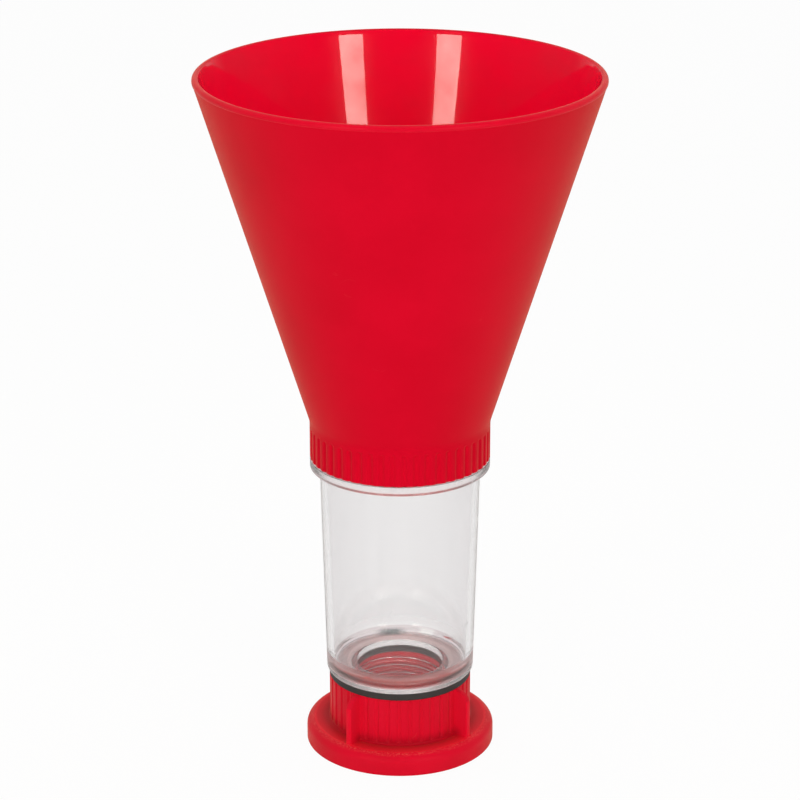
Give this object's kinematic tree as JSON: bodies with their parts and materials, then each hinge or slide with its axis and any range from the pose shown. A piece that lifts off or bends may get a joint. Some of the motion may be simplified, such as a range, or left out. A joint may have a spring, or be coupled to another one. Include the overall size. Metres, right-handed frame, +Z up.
{
  "type": "filling funnel",
  "caption": "Wide cone with a ribbed screw collar on a clear tapered sight cup, screwed into a finned foot disc whose underside takes a filler neck, with a flat seal at each joint.",
  "frame": {"origin": "centre of the foot's flat base", "axes": "+Z up along the funnel's axis, out of the mouth; two of the four grip fins lie on X and two on Y"},
  "size_m": [0.151, 0.151, 0.2655],
  "materials": {
    "red_plastic": "satin outside, gloss inside",
    "clear_plastic": "clear gloss",
    "gasket_rubber": "matte",
    "seal_rubber": "matte"
  },
  "bodies": {
    "foot": {"foot": "red_plastic", "neck_seal": "seal_rubber"},
    "gasket": {"lower_gasket": "gasket_rubber"},
    "cup": {"sight_cup": "clear_plastic"},
    "cup_seal": {"upper_seal": "seal_rubber"},
    "cone": {"funnel_cone": "red_plastic"}
  },
  "joints": [
    {"name": "cup_rise", "type": "slide", "parent": "foot", "child": "gasket", "axis": [0, 0, 1], "range_m": [0, 0.01155]},
    {"name": "cup_screw", "type": "hinge", "parent": "gasket", "child": "cup", "pos_m": [0, 0, 0.03], "axis": [0, 0, 1], "range_deg": [0, 1260]},
    {"name": "cone_rise", "type": "slide", "parent": "cup", "child": "cup_seal", "axis": [0, 0, 1], "range_m": [0, 0.011]},
    {"name": "cone_screw", "type": "hinge", "parent": "cup_seal", "child": "cone", "pos_m": [0, 0, 0.13], "axis": [0, 0, 1], "range_deg": [0, 990]}
  ],
  "couplings": [
    {"joint": "cup_rise", "follows": "cup_screw", "m_per_rad": 0.0005252},
    {"joint": "cone_rise", "follows": "cone_screw", "m_per_rad": 0.0006366}
  ]
}
